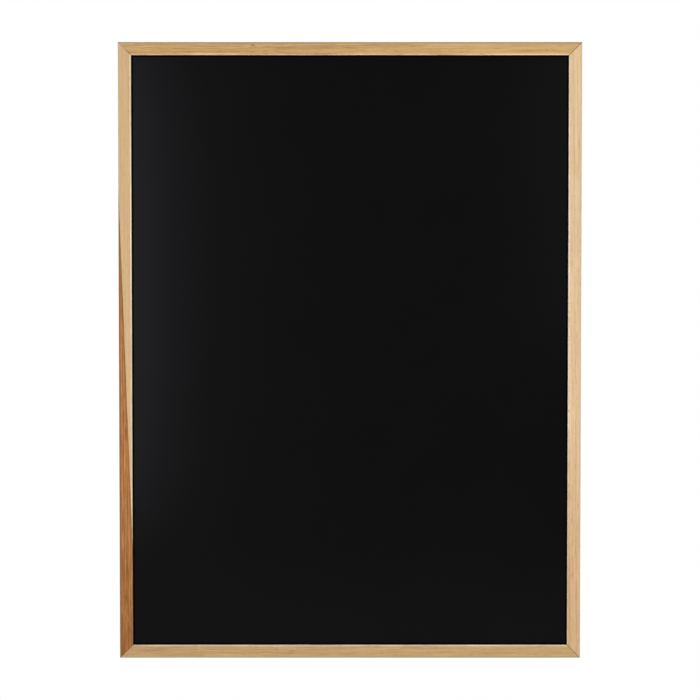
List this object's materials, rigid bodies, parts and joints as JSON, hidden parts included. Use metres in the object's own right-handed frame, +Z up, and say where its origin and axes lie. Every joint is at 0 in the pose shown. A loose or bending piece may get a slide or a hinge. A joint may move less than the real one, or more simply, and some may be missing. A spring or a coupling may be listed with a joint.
{
  "type": "chalkboard",
  "caption": "Upright wall chalkboard: a thin black-lacquered panel in a narrow mitred natural-pine frame, with folding D-ring hangers on its back for hanging either way up.",
  "frame": {"origin": "middle of the plane of the frame's back, which lies against the wall", "axes": "+Z up along the board's height, +X to the right for someone who writes on it, +Y from the writing face through the board to the wall"},
  "size_m": [0.6, 0.0203, 0.8],
  "materials": {
    "pine_left_stile": "planed and sanded natural pine with a reddish heartwood edge, matt",
    "pine_right_stile": "planed and sanded natural pine sapwood, matt",
    "pine_top_rail": "planed and sanded natural pine, matt",
    "pine_bottom_rail": "planed and sanded natural pine, matt",
    "chalk_lacquer": "matt black chalk lacquer on 3 mm hardboard, bare brown hardboard behind",
    "nail_steel": "bright hardened steel strip",
    "point_steel": "bright steel strip",
    "zinc_plated_strap": "zinc-plated folded sheet steel",
    "zinc_plated_wire": "zinc-plated round steel wire",
    "zinc_plated_screw": "zinc-plated pan-head wood screw"
  },
  "bodies": {
    "root": {"left_stile": "pine_left_stile", "right_stile": "pine_right_stile", "top_rail": "pine_top_rail", "bottom_rail": "pine_bottom_rail", "chalk_panel": "chalk_lacquer", "v_nail_bottom_left_outer": "nail_steel", "v_nail_bottom_left_inner": "nail_steel", "v_nail_top_left_outer": "nail_steel", "v_nail_top_left_inner": "nail_steel", "v_nail_top_right_outer": "nail_steel", "v_nail_top_right_inner": "nail_steel", "v_nail_bottom_right_outer": "nail_steel", "v_nail_bottom_right_inner": "nail_steel", "point_left_1": "point_steel", "point_left_2": "point_steel", "point_left_3": "point_steel", "point_right_1": "point_steel", "point_right_2": "point_steel", "point_right_3": "point_steel", "point_top_1": "point_steel", "point_top_2": "point_steel", "point_bottom_1": "point_steel", "point_bottom_2": "point_steel", "hanger_strap_left": "zinc_plated_strap", "hanger_strap_right": "zinc_plated_strap", "hanger_strap_top": "zinc_plated_strap", "hanger_strap_bottom": "zinc_plated_strap", "hanger_screw_left": "zinc_plated_screw", "hanger_screw_right": "zinc_plated_screw", "hanger_screw_top": "zinc_plated_screw", "hanger_screw_bottom": "zinc_plated_screw"},
    "left_ring": {"hanger_ring_left": "zinc_plated_wire"},
    "right_ring": {"hanger_ring_right": "zinc_plated_wire"},
    "top_ring": {"hanger_ring_top": "zinc_plated_wire"},
    "bottom_ring": {"hanger_ring_bottom": "zinc_plated_wire"}
  },
  "joints": [
    {"name": "left_ring_swing", "type": "hinge", "parent": "root", "child": "left_ring", "pos_m": [-0.2939, 0.0022, 0.3], "axis": [1, 0, 0], "range_deg": [0, 178]},
    {"name": "right_ring_swing", "type": "hinge", "parent": "root", "child": "right_ring", "pos_m": [0.2939, 0.0022, 0.3], "axis": [1, 0, 0], "range_deg": [0, 178]},
    {"name": "top_ring_swing", "type": "hinge", "parent": "root", "child": "top_ring", "pos_m": [-0.2, 0.0022, 0.3939], "axis": [0, 0, 1], "range_deg": [0, 178]},
    {"name": "bottom_ring_swing", "type": "hinge", "parent": "root", "child": "bottom_ring", "pos_m": [-0.2, 0.0022, -0.3939], "axis": [0, 0, 1], "range_deg": [0, 178]}
  ]
}
